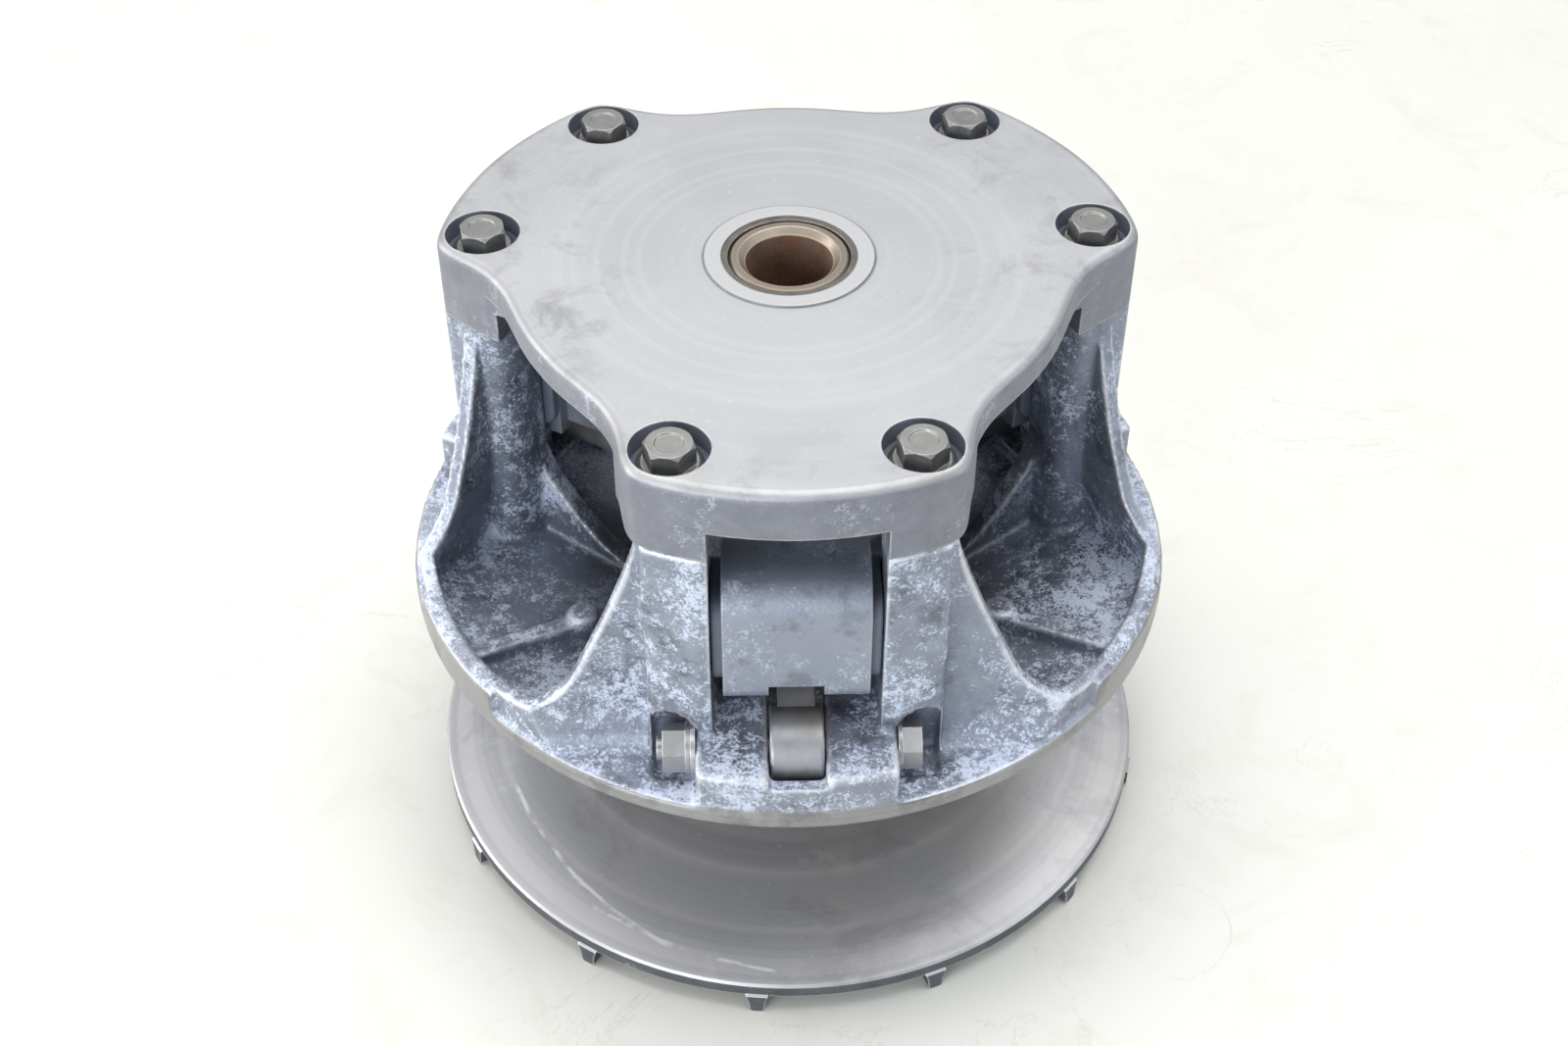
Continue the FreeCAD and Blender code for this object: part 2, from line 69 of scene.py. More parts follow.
# ---------------------------------------------------------------- node helpers
class Nodes:
    """A material's node tree with short calls for the nodes used here."""

    def __init__(self, name):
        self.material = bpy.data.materials.new(name)
        self.material.use_nodes = True
        self.tree = self.material.node_tree
        self.bsdf = self.tree.nodes["Principled BSDF"]
        self.place = self.add("ShaderNodeTexCoord").outputs["Object"]
        self.normal = self.add("ShaderNodeNewGeometry").outputs["Normal"]

    def add(self, kind):
        return self.tree.nodes.new(kind)

    def feed(self, socket, value):
        if isinstance(value, bpy.types.NodeSocket):
            self.tree.links.new(value, socket)
        elif isinstance(value, tuple) and len(value) == 3 and socket.type == "RGBA":
            socket.default_value = (*value, 1.0)
        else:
            socket.default_value = value

    def math(self, operation, a, b=0.0, c=0.0, clamp=False):
        node = self.add("ShaderNodeMath")
        node.operation = operation
        node.use_clamp = clamp
        for i, value in enumerate((a, b, c)):
            self.feed(node.inputs[i], value)
        return node.outputs[0]

    def times(self, a, b):
        return self.math("MULTIPLY", a, b)

    def plus(self, a, b):
        return self.math("ADD", a, b)

    def inverse(self, mask):
        return self.math("SUBTRACT", 1.0, mask)

    def vector(self, operation, a, b=(0.0, 0.0, 0.0)):
        node = self.add("ShaderNodeVectorMath")
        node.operation = operation
        self.feed(node.inputs[0], a)
        self.feed(node.inputs[1], b)
        key = "Value" if operation in ("LENGTH", "DISTANCE", "DOT_PRODUCT") else "Vector"
        return node.outputs[key]

    def split(self, vector):
        node = self.add("ShaderNodeSeparateXYZ")
        self.feed(node.inputs[0], vector)
        return node.outputs

    def join(self, x, y, z):
        node = self.add("ShaderNodeCombineXYZ")
        for i, value in enumerate((x, y, z)):
            self.feed(node.inputs[i], value)
        return node.outputs[0]

    def noise(self, scale, detail=4.0, rough=0.55, place=None, warp=0.0):
        node = self.add("ShaderNodeTexNoise")
        self.feed(node.inputs["Vector"], place or self.place)
        node.inputs["Scale"].default_value = scale
        node.inputs["Detail"].default_value = detail
        node.inputs["Roughness"].default_value = rough
        node.inputs["Distortion"].default_value = warp
        return node.outputs["Fac"]

    def step(self, value, low, high):
        """Smooth 0 to 1 as value goes from low to high."""
        node = self.add("ShaderNodeMapRange")
        node.interpolation_type = "SMOOTHSTEP"
        self.feed(node.inputs["Value"], value)
        node.inputs["From Min"].default_value = low
        node.inputs["From Max"].default_value = high
        return node.outputs["Result"]

    def span(self, value, low, high, to_low, to_high):
        node = self.add("ShaderNodeMapRange")
        self.feed(node.inputs["Value"], value)
        node.inputs["From Min"].default_value = low
        node.inputs["From Max"].default_value = high
        node.inputs["To Min"].default_value = to_low
        node.inputs["To Max"].default_value = to_high
        return node.outputs["Result"]

    def mix(self, factor, a, b):
        node = self.add("ShaderNodeMix")
        node.data_type = "RGBA"
        self.feed(node.inputs[0], factor)
        self.feed(node.inputs[6], a)
        self.feed(node.inputs[7], b)
        return node.outputs[2]

    def mixf(self, factor, a, b):
        node = self.add("ShaderNodeMix")
        self.feed(node.inputs[0], factor)
        self.feed(node.inputs[2], a)
        self.feed(node.inputs[3], b)
        return node.outputs[0]

    def radius(self):
        """Distance from the shaft axis."""
        x, y = self.split(self.place)[:2]
        return self.math("SQRT", self.plus(self.times(x, x), self.times(y, y)))

    def height(self):
        return self.split(self.place)[2]

    def facing_up(self):
        return self.split(self.normal)[2]

    def edges(self, radius, low=0.01, high=0.12):
        """1 near sharp edges, from the Bevel node's bent normal."""
        node = self.add("ShaderNodeBevel")
        node.samples = 6
        node.inputs["Radius"].default_value = radius
        bend = self.inverse(self.vector("DOT_PRODUCT", node.outputs[0], self.normal))
        return self.step(bend, low, high)

    def ridges(self, low=0.508, high=0.545):
        """1 along convex edges of a dense mesh."""
        node = self.add("ShaderNodeNewGeometry")
        return self.step(node.outputs["Pointiness"], low, high)

    def bump(self, height, strength, distance, soft_edge=0.0):
        node = self.add("ShaderNodeBump")
        self.feed(node.inputs["Height"], height)
        self.feed(node.inputs["Strength"], strength)
        node.inputs["Distance"].default_value = distance
        if soft_edge:
            bevel = self.add("ShaderNodeBevel")
            bevel.samples = 6
            bevel.inputs["Radius"].default_value = soft_edge
            self.feed(node.inputs["Normal"], bevel.outputs[0])
        self.feed(self.bsdf.inputs["Normal"], node.outputs[0])

    def finish(self, colour, rough, metal):
        self.feed(self.bsdf.inputs["Base Color"], colour)
        self.feed(self.bsdf.inputs["Roughness"], rough)
        self.feed(self.bsdf.inputs["Metallic"], metal)
        return self.material


def turned_lines(n, per_metre, detail=3.0):
    """Noise that depends only on radius and height, as tool marks do."""
    place = n.join(n.radius(), n.height(), 0.0)
    return n.noise(per_metre, detail, 0.6, place)


# ------------------------------------------------------------------- materials
def oxide(n, amount, patch=46.0, speck=380.0):
    """Mask of the bluish white bloom on old die-cast aluminium: fine grains gathered in patches."""
    broad = n.noise(patch, 3.0, 0.6, warp=0.4)
    grains = n.noise(speck, 5.0, 0.70, warp=0.2)
    fine = n.noise(speck * 3.6, 3.0, 0.65)
    both = n.plus(n.times(broad, 0.34), n.times(grains, 0.34))
    both = n.plus(both, n.times(fine, 0.32))
    return n.step(n.plus(both, amount), 0.550, 0.640)


def near_bolts(n):
    """Distance across the axis from the nearest cover bolt."""
    x, y = n.split(n.place)[:2]
    flat = n.join(x, y, 0.0)
    near = None
    for tower in TOWERS:
        for side_sign in (-1, 1):
            a = math.radians(tower + side_sign * BOLT_ANGLE)
            spot = (BOLT_CIRCLE * math.cos(a), BOLT_CIRCLE * math.sin(a), 0.0)
            distance = n.vector("DISTANCE", flat, spot)
            near = distance if near is None else n.math("MINIMUM", near, distance)
    return near


def sheave_casting():
    """Die-cast towers with bloom and worn ridges, and a turned rim and belt face."""
    n = Nodes("sheave_casting")
    r = n.radius()
    up = n.facing_up()
    grey = n.mix(n.noise(34.0, 5.0, 0.6), (0.155, 0.172, 0.215), (0.300, 0.325, 0.385))
    dirt = n.step(n.noise(75.0, 6.0, 0.7, warp=0.5), 0.50, 0.64)
    grey = n.mix(n.times(dirt, 0.75), grey, (0.085, 0.09, 0.11))
    outward = n.step(r, 62.0 * MM, 84.0 * MM)
    ledge = n.times(n.step(r, 70.0 * MM, 76.0 * MM), n.step(up, 0.5, 0.9))
    bloom = oxide(n, n.plus(n.mixf(outward, 0.058, 0.052), n.times(ledge, 0.03)))
    haze = n.step(n.noise(120.0, 6.0, 0.75), 0.38, 0.66)
    colour = n.mix(n.times(haze, 0.40), grey, (0.37, 0.405, 0.49))
    colour = n.mix(n.times(bloom, 0.80), colour, (0.64, 0.70, 0.84))
    worn = n.times(n.ridges(), n.step(n.noise(160.0, 4.0), 0.26, 0.48))
    colour = n.mix(n.times(worn, 0.80), colour, (0.64, 0.65, 0.69))
    # painted shade: the casting is darkened almost to black towards the shaft, standing in for the shade
    # inside the sheave
    inner_shade = n.inverse(n.step(r, 42.0 * MM, 66.0 * MM))
    colour = n.mix(n.times(inner_shade, 0.80), colour, (0.045, 0.046, 0.052))
    rim = n.step(r, SHEAVE_LEDGE_R - 0.2 * MM, SHEAVE_LEDGE_R + 0.2 * MM)
    lines = turned_lines(n, 2600.0)
    turned = n.mix(lines, (0.20, 0.20, 0.205), (0.34, 0.335, 0.33))
    pitted = n.step(n.noise(70.0, 5.0, 0.6), 0.5, 0.62)
    turned = n.mix(n.times(pitted, 0.6), turned, (0.15, 0.15, 0.155))
    face = n.step(n.times(up, -1.0), 0.80, 0.93)
    machined = n.math("MAXIMUM", rim, face)
    colour = n.mix(machined, colour, turned)
    rough = n.mixf(bloom, 0.44, 0.70)
    rough = n.mixf(n.math("MAXIMUM", worn, machined), rough, 0.36)
    height = n.plus(n.noise(900.0, 4.0, 0.6), n.times(bloom, 0.35))
    n.bump(height, n.mixf(machined, 0.55, 0.08), 0.25 * MM, 0.7 * MM)
    return n.finish(colour, rough, n.mixf(bloom, 0.62, 0.25))


def cover_metal():
    """Smudged satin top, cast side walls, dark bolt seats and a turned boss in the middle."""
    n = Nodes("cover_aluminium")
    r = n.radius()
    z = n.height()
    up = n.facing_up()
    broad = n.noise(14.0, 5.0, 0.6, warp=0.6)
    mottled = n.noise(75.0, 6.0, 0.7, warp=0.5)
    colour = n.mix(broad, (0.300, 0.302, 0.312), (0.475, 0.475, 0.485))
    smudge = n.times(n.step(mottled, 0.50, 0.68), n.step(n.noise(9.0, 3.0), 0.38, 0.58))
    colour = n.mix(n.times(smudge, 0.65), colour, (0.225, 0.226, 0.235))
    specks = n.step(n.noise(620.0, 5.0, 0.7), 0.60, 0.70)
    colour = n.mix(n.times(specks, 0.28), colour, (0.64, 0.64, 0.65))
    swirl = turned_lines(n, 420.0, 5.0)
    colour = n.mix(n.times(n.step(swirl, 0.45, 0.75), 0.14), colour, (0.60, 0.595, 0.59))
    border = n.step(r, 60.0 * MM, 84.0 * MM)
    grime = n.times(border, n.step(n.noise(55.0, 6.0, 0.7), 0.45, 0.66))
    colour = n.mix(n.times(grime, 0.40), colour, (0.21, 0.205, 0.20))
    side = n.inverse(n.step(up, 0.30, 0.70))
    cast = n.mix(n.noise(160.0, 6.0, 0.7), (0.135, 0.142, 0.170), (0.300, 0.308, 0.345))
    cast = n.mix(n.times(oxide(n, 0.0, 60.0, 420.0), 0.55), cast, (0.55, 0.58, 0.66))
    colour = n.mix(side, colour, cast)
    near = near_bolts(n)
    sunk = n.inverse(n.step(z, COVER_TOP - 0.7 * MM, COVER_TOP - 0.2 * MM))
    in_seat = n.inverse(n.step(near, BOLT_SEAT_R - 0.05 * MM, BOLT_SEAT_R + 0.15 * MM))
    seat = n.times(in_seat, sunk)
    seat_colour = n.mix(n.noise(300.0, 5.0, 0.7), (0.095, 0.112, 0.150), (0.20, 0.22, 0.27))
    colour = n.mix(seat, colour, seat_colour)
    worn = n.times(n.edges(1.0 * MM, 0.01, 0.12), n.step(n.noise(200.0, 4.0), 0.35, 0.55))
    worn = n.times(worn, n.inverse(seat))
    colour = n.mix(n.times(worn, 0.6), colour, (0.62, 0.62, 0.62))
    ring = n.inverse(n.step(r, COVER_BOSS_R - 0.1 * MM, COVER_BOSS_R + 0.1 * MM))
    fine = n.mix(turned_lines(n, 3000.0), (0.35, 0.35, 0.355), (0.50, 0.50, 0.505))
    colour = n.mix(ring, colour, fine)
    # painted shade: a thin dark ring just outside the turned boss stands in for the shade in the crease
    # at its foot
    inner_shade = n.step(r, COVER_BOSS_R - 0.2 * MM, COVER_BOSS_R + 0.05 * MM)
    outer_shade = n.inverse(n.step(r, COVER_BOSS_R + 0.2 * MM, COVER_BOSS_R + 0.7 * MM))
    colour = n.mix(n.times(n.times(inner_shade, outer_shade), 0.7), colour, (0.13, 0.13, 0.14))
    rough = n.mixf(mottled, 0.48, 0.64)
    rough = n.mixf(side, rough, 0.52)
    rough = n.mixf(seat, rough, 0.6)
    height = n.plus(n.noise(1400.0, 3.0, 0.6), n.times(swirl, 0.3))
    n.bump(height, n.mixf(side, 0.12, 0.40), 0.2 * MM, 0.5 * MM)
    return n.finish(colour, rough, n.mixf(seat, n.mixf(side, 0.80, 0.60), 0.30))


def scratch(n, start, end, bow, width):
    """Mask of one thin bowed line over the top, from start to end."""
    x, y = n.split(n.place)[:2]
    length = math.dist(start, end)
    along_x, along_y = (end[0] - start[0]) / length, (end[1] - start[1]) / length
    dx = n.math("SUBTRACT", x, start[0])
    dy = n.math("SUBTRACT", y, start[1])
    along = n.plus(n.times(dx, along_x), n.times(dy, along_y))
    across = n.math("SUBTRACT", n.times(dy, along_x), n.times(dx, along_y))
    part = n.math("DIVIDE", along, length)
    curve = n.times(n.times(part, n.inverse(part)), 4.0 * bow)
    wobble = n.times(n.math("SUBTRACT", n.noise(120.0, 3.0), 0.5), 2.0 * width)
    off = n.math("ABSOLUTE", n.math("SUBTRACT", n.plus(across, wobble), curve))
    line = n.inverse(n.step(off, 0.4 * width, width))
    inside = n.times(n.step(part, 0.0, 0.05), n.inverse(n.step(part, 0.95, 1.0)))
    broken = n.step(n.noise(90.0, 5.0, 0.7), 0.40, 0.55)
    return n.times(n.times(line, inside), broken)


def fixed_face():
    """Turned belt face with stains and scratches, a painted shadow near the hub, and a dark cast
    underside.
    """
    n = Nodes("face_metal")
    r = n.radius()
    up = n.facing_up()
    bands = turned_lines(n, 160.0, 6.0)
    fine = turned_lines(n, 2400.0, 2.0)
    colour = n.mix(n.step(bands, 0.35, 0.65), (0.400, 0.398, 0.415), (0.560, 0.552, 0.560))
    colour = n.mix(n.times(fine, 0.35), colour, (0.32, 0.32, 0.34))
    warm = n.step(n.noise(13.0, 3.0, 0.5), 0.50, 0.68)
    colour = n.mix(n.times(warm, 0.30), colour, (0.52, 0.47, 0.42))
    stains = n.step(n.noise(60.0, 6.0, 0.7), 0.56, 0.70)
    colour = n.mix(n.times(stains, 0.30), colour, (0.62, 0.62, 0.64))
    dull = n.step(n.noise(34.0, 6.0, 0.7, warp=0.4), 0.52, 0.66)
    colour = n.mix(n.times(dull, 0.30), colour, (0.20, 0.20, 0.215))
    specks = n.step(n.noise(420.0, 5.0, 0.75), 0.64, 0.70)
    colour = n.mix(n.times(specks, 0.50), colour, (0.74, 0.74, 0.75))
    pale = (0.80, 0.80, 0.81)
    long_mark = scratch(n, (-0.074, -0.030), (-0.030, -0.084), -0.006, 0.0007)
    short_mark = scratch(n, (-0.052, -0.070), (-0.004, -0.091), -0.003, 0.0006)
    marks = n.math("MAXIMUM", long_mark, short_mark)
    colour = n.mix(n.times(marks, 0.75), colour, pale)
    under = n.inverse(n.step(up, 0.1, 0.6))
    cast = n.mix(n.noise(120.0, 6.0, 0.7), (0.040, 0.044, 0.052), (0.15, 0.155, 0.17))
    cast = n.mix(n.times(oxide(n, 0.0), 0.6), cast, (0.42, 0.44, 0.48))
    colour = n.mix(under, colour, cast)
    # painted shadow: the belt face is darkened near the hub, where the movable sheave above shades it
    hub_shadow = n.inverse(n.step(r, 40.0 * MM, 72.0 * MM))
    colour = n.mix(n.times(hub_shadow, 0.60), colour, (0.075, 0.072, 0.070))
    edge = n.times(n.edges(0.8 * MM, 0.02, 0.2), n.step(r, 90.0 * MM, 92.0 * MM))
    colour = n.mix(n.times(edge, 0.75), colour, (0.70, 0.70, 0.70))
    rough = n.mixf(bands, 0.34, 0.50)
    rough = n.mixf(under, rough, 0.6)
    height = n.plus(fine, n.times(n.noise(900.0, 4.0, 0.6), under))
    n.bump(height, n.mixf(under, 0.05, 0.4), 0.2 * MM, 0.4 * MM)
    return n.finish(colour, rough, n.mixf(under, 0.72, 0.45))


def spider_casting():
    """Mottled casting, with painted shade darkening it towards the shaft."""
    n = Nodes("spider_casting")
    grey = n.mix(n.noise(45.0, 5.0, 0.6), (0.21, 0.232, 0.285), (0.36, 0.385, 0.445))
    dull = n.step(n.noise(110.0, 6.0, 0.7), 0.52, 0.66)
    grey = n.mix(n.times(dull, 0.5), grey, (0.14, 0.15, 0.18))
    bloom = oxide(n, 0.035, 60.0, 420.0)
    colour = n.mix(n.times(bloom, 0.65), grey, (0.60, 0.65, 0.76))
    worn = n.edges(0.9 * MM, 0.01, 0.12)
    colour = n.mix(n.times(worn, 0.6), colour, (0.60, 0.61, 0.64))
    height = n.noise(1100.0, 4.0, 0.6)
    n.bump(height, 0.45, 0.2 * MM, 0.6 * MM)
    # painted shade: the casting is darkened towards the shaft, standing in for the shade inside the
    # clutch
    inner_shade = n.inverse(n.step(n.radius(), 42.0 * MM, 60.0 * MM))
    colour = n.mix(n.times(inner_shade, 0.75), colour, (0.05, 0.05, 0.055))
    return n.finish(colour, n.mixf(bloom, 0.42, 0.62), 0.6)


def steel(name, dark, light, rough_low, rough_high, edge_colour, scale=180.0, metal=0.85, stain=None):
    """Mottled metal from dark to light, paler along its edges."""
    n = Nodes(name)
    colour = n.mix(n.noise(scale, 6.0, 0.68), dark, light)
    if stain:
        mask = n.step(n.noise(scale * 0.35, 6.0, 0.7), 0.50, 0.64)
        colour = n.mix(n.times(mask, 0.7), colour, stain)
    worn = n.times(n.edges(0.6 * MM, 0.01, 0.14), n.step(n.noise(500.0, 3.0), 0.3, 0.6))
    colour = n.mix(n.times(worn, 0.8), colour, edge_colour)
    rough = n.span(n.noise(scale * 1.7, 4.0), 0.3, 0.7, rough_low, rough_high)
    n.bump(n.noise(2200.0, 3.0, 0.6), 0.25, 0.1 * MM, 0.35 * MM)
    return n.finish(colour, rough, metal)


def shaft_metal():
    """Turned steel with a rusty bore and a paler chamfer at its mouth."""
    n = Nodes("shaft_steel")
    r = n.radius()
    lines = turned_lines(n, 2600.0)
    colour = n.mix(lines, (0.20, 0.165, 0.130), (0.37, 0.315, 0.26))
    rust = n.mix(n.noise(260.0, 7.0, 0.7), (0.035, 0.018, 0.010), (0.25, 0.115, 0.05))
    inside = n.inverse(n.step(r, SHAFT_BORE_R + 0.05 * MM, SHAFT_BORE_R + 0.35 * MM))
    patchy = n.step(n.noise(150.0, 6.0, 0.7), 0.42, 0.58)
    rusty = n.times(inside, n.span(patchy, 0.0, 1.0, 0.70, 1.0))
    colour = n.mix(rusty, colour, rust)
    mouth = n.step(r, SHAFT_BORE_R - 0.05 * MM, SHAFT_BORE_R + 0.15 * MM)
    chamfer = n.times(mouth, n.inverse(n.step(r, SHAFT_BORE_R + 1.65 * MM, SHAFT_BORE_R + 1.9 * MM)))
    colour = n.mix(n.times(chamfer, 0.55), colour, (0.52, 0.45, 0.37))
    n.bump(n.noise(1500.0, 4.0, 0.65), n.mixf(inside, 0.10, 0.6), 0.2 * MM, 0.3 * MM)
    return n.finish(colour, n.mixf(rusty, 0.34, 0.75), n.mixf(rusty, 0.9, 0.25))


def plastic(name, dark, light, rough):
    """Plain plastic, paler along its edges."""
    n = Nodes(name)
    colour = n.mix(n.noise(220.0, 5.0, 0.6), dark, light)
    worn = n.edges(0.6 * MM, 0.02, 0.2)
    colour = n.mix(n.times(worn, 0.4), colour, tuple(min(1.0, c * 1.9) for c in light))
    n.bump(n.noise(1800.0, 3.0), 0.15, 0.1 * MM, 0.4 * MM)
    return n.finish(colour, n.span(n.noise(400.0, 3.0), 0.3, 0.7, rough - 0.05, rough + 0.08), 0.0)


def give(material, *names):
    """Put one material on each named node."""
    for name in names:
        mesh = NODES[name].data
        mesh.materials.clear()
        mesh.materials.append(material)


def numbered(*stems):
    """Names of the three copies of each stem."""
    return [stem + "_" + str(i) for stem in stems for i in (1, 2, 3)]


give(cover_metal(), "cover")
give(sheave_casting(), "movable_sheave")
give(fixed_face(), "fixed_sheave")
give(spider_casting(), "spider")
give(shaft_metal(), "shaft")
bolt = steel("bolt_steel", (0.150, 0.152, 0.148), (0.29, 0.288, 0.275), 0.38, 0.55, (0.50, 0.48, 0.44))
give(bolt, "cover_bolts")
pivot = steel("pivot_steel", (0.24, 0.24, 0.25), (0.42, 0.42, 0.43), 0.30, 0.45, (0.62, 0.61, 0.60))
give(pivot, *numbered("weight_bolt", "weight_nut"))
washer = steel("washer_steel", (0.34, 0.34, 0.35), (0.52, 0.52, 0.53), 0.26, 0.40, (0.7, 0.7, 0.7))
give(washer, "weight_nut_washers")
weight = steel("weight_steel", (0.25, 0.25, 0.265), (0.40, 0.395, 0.405), 0.38, 0.54, (0.56, 0.55, 0.54),
               stain=(0.30, 0.265, 0.24))
give(weight, *numbered("flyweight"))
dark_steel = steel("dark_steel", (0.13, 0.13, 0.14), (0.26, 0.26, 0.27), 0.35, 0.50, (0.45, 0.45, 0.45))
give(dark_steel, "spider_jam_nut", "roller_washers", *numbered("roller_pin"))
ground = steel("roller_steel", (0.26, 0.25, 0.24), (0.42, 0.41, 0.40), 0.24, 0.36, (0.6, 0.6, 0.6))
give(ground, *numbered("roller"))
bush = steel("bush_dark", (0.080, 0.072, 0.066), (0.22, 0.20, 0.18), 0.30, 0.46, (0.32, 0.30, 0.28))
give(bush, "cover_bush")
polymer = plastic("bush_polymer", (0.04, 0.04, 0.04), (0.09, 0.088, 0.085), 0.5)
give(polymer, "movable_sheave_bush", *numbered("roller_bush", "flyweight_bush"))
button = plastic("button_plastic", (0.105, 0.122, 0.155), (0.165, 0.185, 0.225), 0.34)
give(button, *["slide_button_" + str(i) + letter for i in (1, 2, 3) for letter in "ab"])


# --------------------------------------------------------------------- casting
def make_casting(node, piece, body, voxel, face_limit, smoothing):
    """Copy of a node with the soft corners and fillets of a casting, in its place."""
    source = NODES[node]
    casting = bpy.data.objects.new(piece, source.data.copy())
    casting.matrix_world = source.matrix_world
    bpy.context.collection.objects.link(casting)
    remesh = casting.modifiers.new("voxels", "REMESH")
    remesh.mode = "VOXEL"
    remesh.voxel_size = voxel
    soften = casting.modifiers.new("soften", "SMOOTH")
    soften.factor = 0.5
    soften.iterations = smoothing
    bpy.context.view_layer.update()
    shape = casting.evaluated_get(bpy.context.evaluated_depsgraph_get())
    triangles = 2 * len(shape.data.polygons)
    thin = casting.modifiers.new("thin", "DECIMATE")
    thin.ratio = min(1.0, face_limit / triangles)
    bpy.context.view_layer.update()
    shape = casting.evaluated_get(bpy.context.evaluated_depsgraph_get())
    data = bpy.data.meshes.new_from_object(shape)
    casting.modifiers.clear()
    casting.data = data
    data.name = piece
    for face in data.polygons:
        face.use_smooth = True
    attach(casting, body)
    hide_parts(node)


make_casting("movable_sheave", "sliding_sheave", "moving_side", 0.8 * MM, 190000, 2)


# ---------------------------------------------------------------------- spring
def spring_path(wire_r, mean_r, low, high, turns, per_turn):
    """Centre line of a coil whose end turns lie closed."""
    pitch_end = 2.0 * wire_r
    end_turns = 0.75
    free = high - low - 2.0 * end_turns * pitch_end - 2.0 * wire_r
    middle_turns = turns - 2.0 * end_turns
    centre = []
    steps = int(turns * per_turn)
    for i in range(steps + 1):
        t = turns * i / steps
        if t < end_turns:
            rise = t * pitch_end
        elif t < turns - end_turns:
            rise = end_turns * pitch_end + free * (t - end_turns) / middle_turns
        else:
            rise = end_turns * pitch_end + free + (t - turns + end_turns) * pitch_end
        a = 2.0 * math.pi * t
        centre.append(Vector((mean_r * math.cos(a), mean_r * math.sin(a), low + wire_r + rise)))
    return centre


def spring_mesh(wire_r, mean_r, low, high, turns, around=14, per_turn=64):
    """Coil as one tube with capped ends, flattened a little where it is ground top and bottom."""
    centre = spring_path(wire_r, mean_r, low, high, turns, per_turn)
    steps = len(centre) - 1
    mesh = bmesh.new()
    rings = []
    for i, point in enumerate(centre):
        ahead = centre[min(i + 1, steps)] - centre[max(i - 1, 0)]
        ahead.normalize()
        out = Vector((point.x, point.y, 0.0)).normalized()
        up = out.cross(ahead).normalized()
        ring = []
        for k in range(around):
            a = 2.0 * math.pi * k / around
            spot = point + (out * math.cos(a) + up * math.sin(a)) * wire_r
            spot.z = min(max(spot.z, low + 0.35 * wire_r), high - 0.35 * wire_r)
            ring.append(mesh.verts.new(spot))
        rings.append(ring)
    for first, second in zip(rings, rings[1:]):
        for k in range(around):
            mesh.faces.new((first[k], first[(k + 1) % around], second[(k + 1) % around], second[k]))
    mesh.faces.new(rings[0])
    mesh.faces.new(list(reversed(rings[-1])))
    bmesh.ops.recalc_face_normals(mesh, faces=mesh.faces)
    data = bpy.data.meshes.new("clutch_spring")
    mesh.to_mesh(data)
    mesh.free()
    return data


def make_spring():
    """Smooth coil in place of the spring's plain solid."""
    data = spring_mesh(SPRING_WIRE_R, SPRING_MEAN_R, SPRING_LOW.z, SPRING_HIGH.z, 5.2)
    for face in data.polygons:
        face.use_smooth = len(face.vertices) == 4
    spring = bpy.data.objects.new("clutch_spring", data)
    bpy.context.collection.objects.link(spring)
    paint = steel("spring_steel", (0.045, 0.045, 0.05), (0.11, 0.11, 0.115), 0.35, 0.5, (0.2, 0.2, 0.2),
                  metal=0.3)
    spring.data.materials.append(paint)
    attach(spring, "fixed_side")
    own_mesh(spring)
    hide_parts("primary_spring")


make_spring()


# --------------------------------------------------------------- floor and light
def make_floor():
    """Large pale floor with faint clouds and veins."""
    mesh = bpy.data.meshes.new("floor")
    half = 8.0
    corners = [(-half, -half, 0), (half, -half, 0), (half, half, 0), (-half, half, 0)]
    mesh.from_pydata(corners, [], [(0, 1, 2, 3)])
    floor = bpy.data.objects.new("floor", mesh)
    bpy.context.collection.objects.link(floor)
    n = Nodes("pale_floor")
    base = n.mix(n.noise(7.0, 5.0, 0.6), (0.60, 0.592, 0.545), (0.665, 0.66, 0.62))
    cloud = n.step(n.noise(22.0, 8.0, 0.7, warp=1.2), 0.50, 0.68)
    base = n.mix(n.times(cloud, 0.30), base, (0.535, 0.515, 0.445))
    ridge = n.math("ABSOLUTE", n.math("SUBTRACT", n.noise(11.0, 7.0, 0.62, warp=1.6), 0.5))
    veins = n.inverse(n.step(ridge, 0.0, 0.006))
    veins = n.times(veins, n.step(n.noise(6.0, 3.0), 0.48, 0.60))
    base = n.mix(n.times(veins, 0.30), base, (0.40, 0.35, 0.28))
    floor.data.materials.append(n.finish(base, 0.45, 0.0))


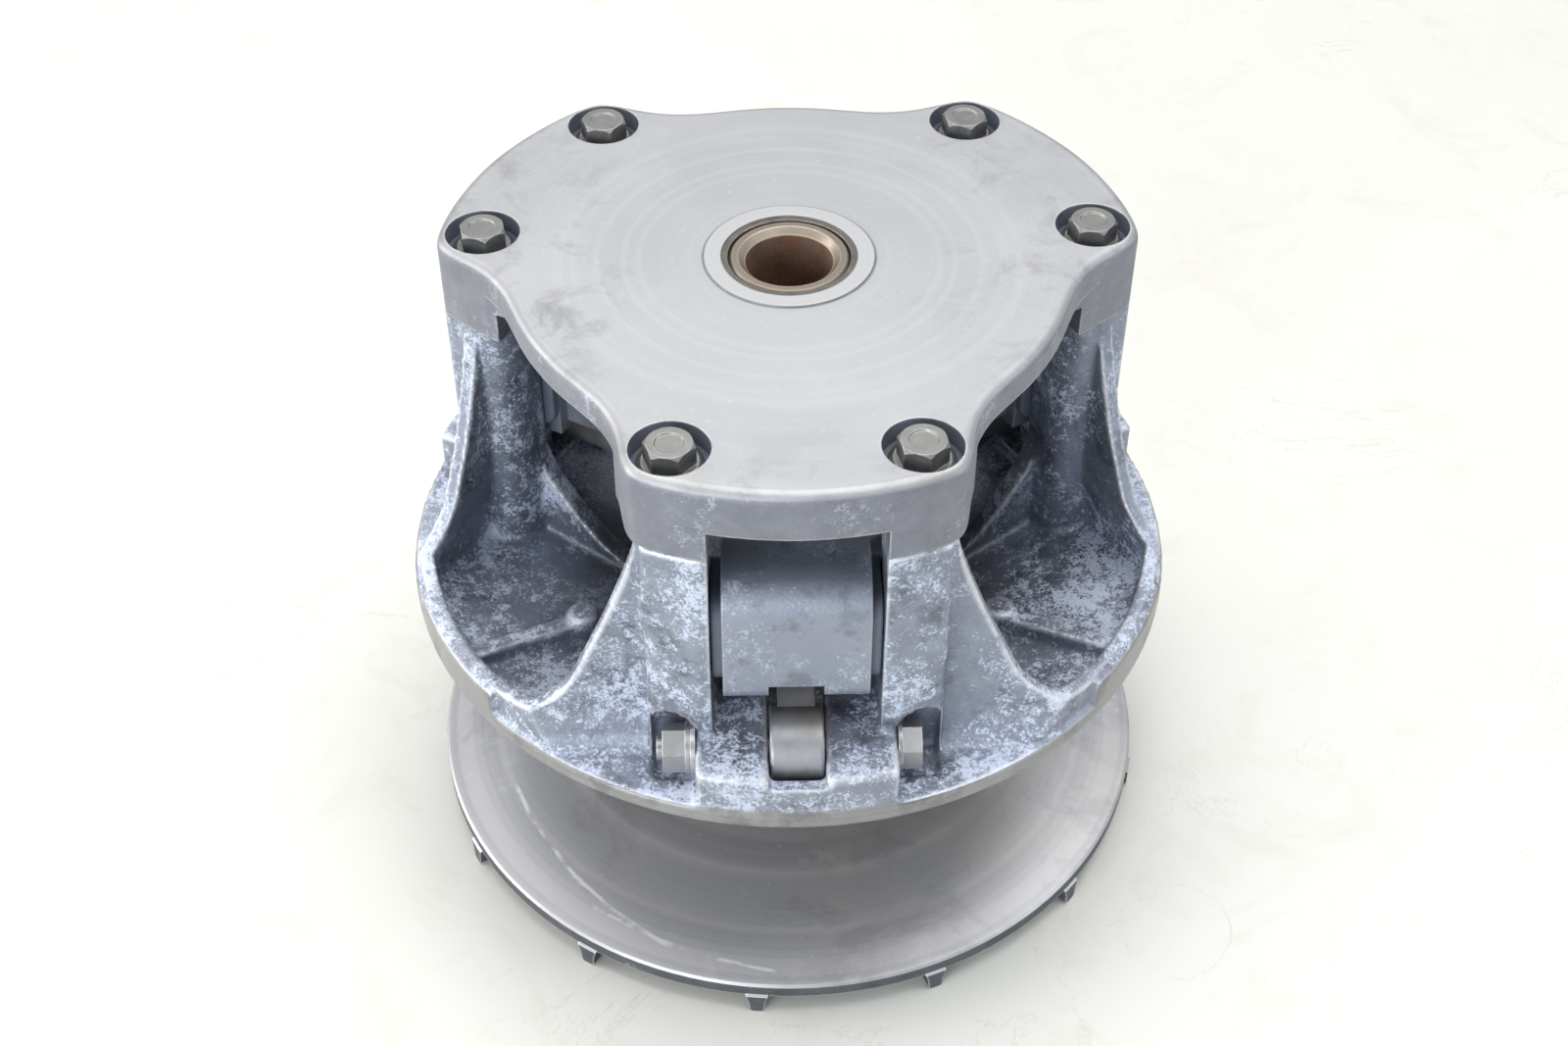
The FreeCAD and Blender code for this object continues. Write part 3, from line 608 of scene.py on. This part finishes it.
def add_area(name, place, aim, size, power, colour):
    """Rectangular lamp at place that points at aim."""
    data = bpy.data.lights.new(name, "AREA")
    data.shape = "RECTANGLE"
    data.size, data.size_y = size
    data.energy = power
    data.color = colour
    lamp = bpy.data.objects.new(name, data)
    lamp.location = place
    lamp.rotation_euler = (Vector(aim) - Vector(place)).to_track_quat("-Z", "Y").to_euler()
    bpy.context.collection.objects.link(lamp)


def make_world():
    """Even, slightly cool light from all round."""
    world = bpy.data.worlds.new("studio")
    world.use_nodes = True
    background = world.node_tree.nodes["Background"]
    background.inputs["Color"].default_value = (0.90, 0.945, 1.0, 1.0)
    background.inputs["Strength"].default_value = 0.62
    bpy.context.scene.world = world


def make_camera():
    """Camera back from the cover's centre along one direction, then moved sideways and down."""
    azimuth = math.radians(-1.171)
    elevation = math.radians(42.809)
    distance = 0.4966
    aside = 0.00122
    down = 0.06193
    back = Vector((math.sin(azimuth) * math.cos(elevation),
                   -math.cos(azimuth) * math.cos(elevation), math.sin(elevation)))
    right = Vector((math.cos(azimuth), math.sin(azimuth), 0.0))
    up = back.cross(right)
    place = Vector((0, 0, COVER_TOP)) + back * distance - right * aside - up * down
    data = bpy.data.cameras.new("camera")
    data.sensor_width = 36.0
    data.lens = 49.2
    camera = bpy.data.objects.new("camera", data)
    camera.matrix_world = Matrix((
        (right.x, up.x, back.x, place.x), (right.y, up.y, back.y, place.y),
        (right.z, up.z, back.z, place.z), (0, 0, 0, 1)))
    bpy.context.collection.objects.link(camera)
    bpy.context.scene.camera = camera


make_floor()
make_world()
make_camera()
add_area("top_soft", (0.1, 0.25, 1.3), (0, 0, 0.05), (1.6, 1.2), 20.0, (1.0, 0.99, 0.975))
add_area("front_soft", (-0.7, -1.2, 0.55), (0, 0, 0.06), (1.0, 0.7), 14.0, (0.90, 0.95, 1.0))
add_area("left_soft", (-1.3, 0.1, 0.45), (0, 0, 0.04), (0.9, 0.6), 11.0, (1.0, 0.965, 0.93))
add_area("right_soft", (1.3, -0.4, 0.5), (0, 0, 0.08), (0.7, 0.6), 3.5, (0.88, 0.94, 1.0))

view = bpy.context.scene.view_settings
view.view_transform = "Standard"
